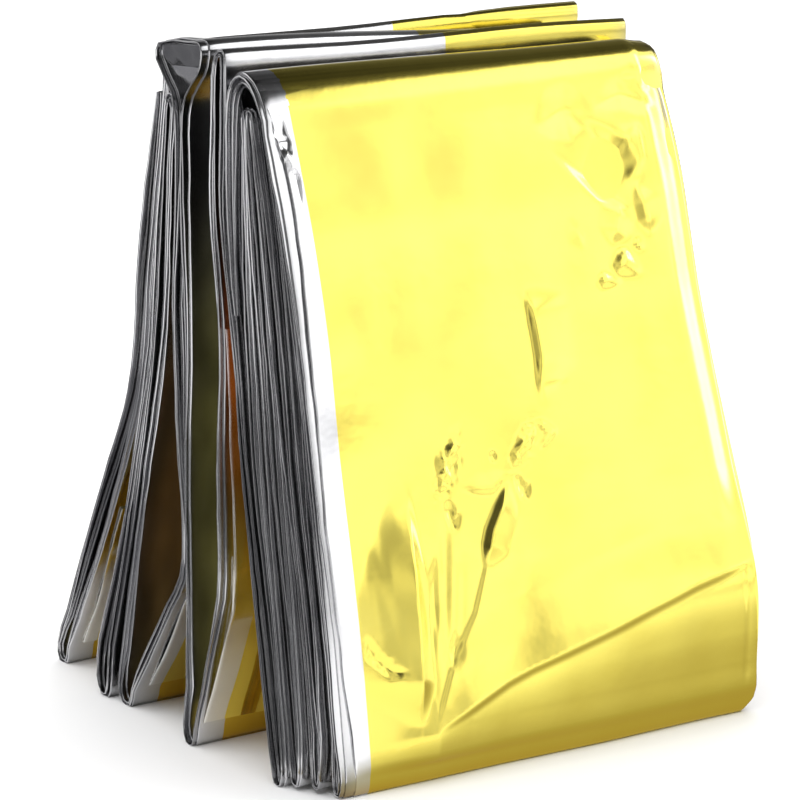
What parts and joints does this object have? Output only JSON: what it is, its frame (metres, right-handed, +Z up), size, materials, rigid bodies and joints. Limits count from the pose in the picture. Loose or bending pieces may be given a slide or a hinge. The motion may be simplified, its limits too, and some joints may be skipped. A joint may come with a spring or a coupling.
{
  "type": "emergency foil blanket",
  "caption": "Folded gold and silver film blanket, a strip folded back and forth and stood up like a fan.",
  "frame": {"origin": "middle of the footprint, on the surface that the folds stand on", "axes": "+X along the strip's width from the left end to the right end, +Y from the front leaf to the back leaf, +Z up"},
  "size_m": [0.0966, 0.0996, 0.1237],
  "materials": {
    "gold_silver_film": "mirror-bright metallised film, gold on one side and silver on the other"
  },
  "bodies": {
    "root": {"foil_blanket": "gold_silver_film"}
  },
  "joints": []
}
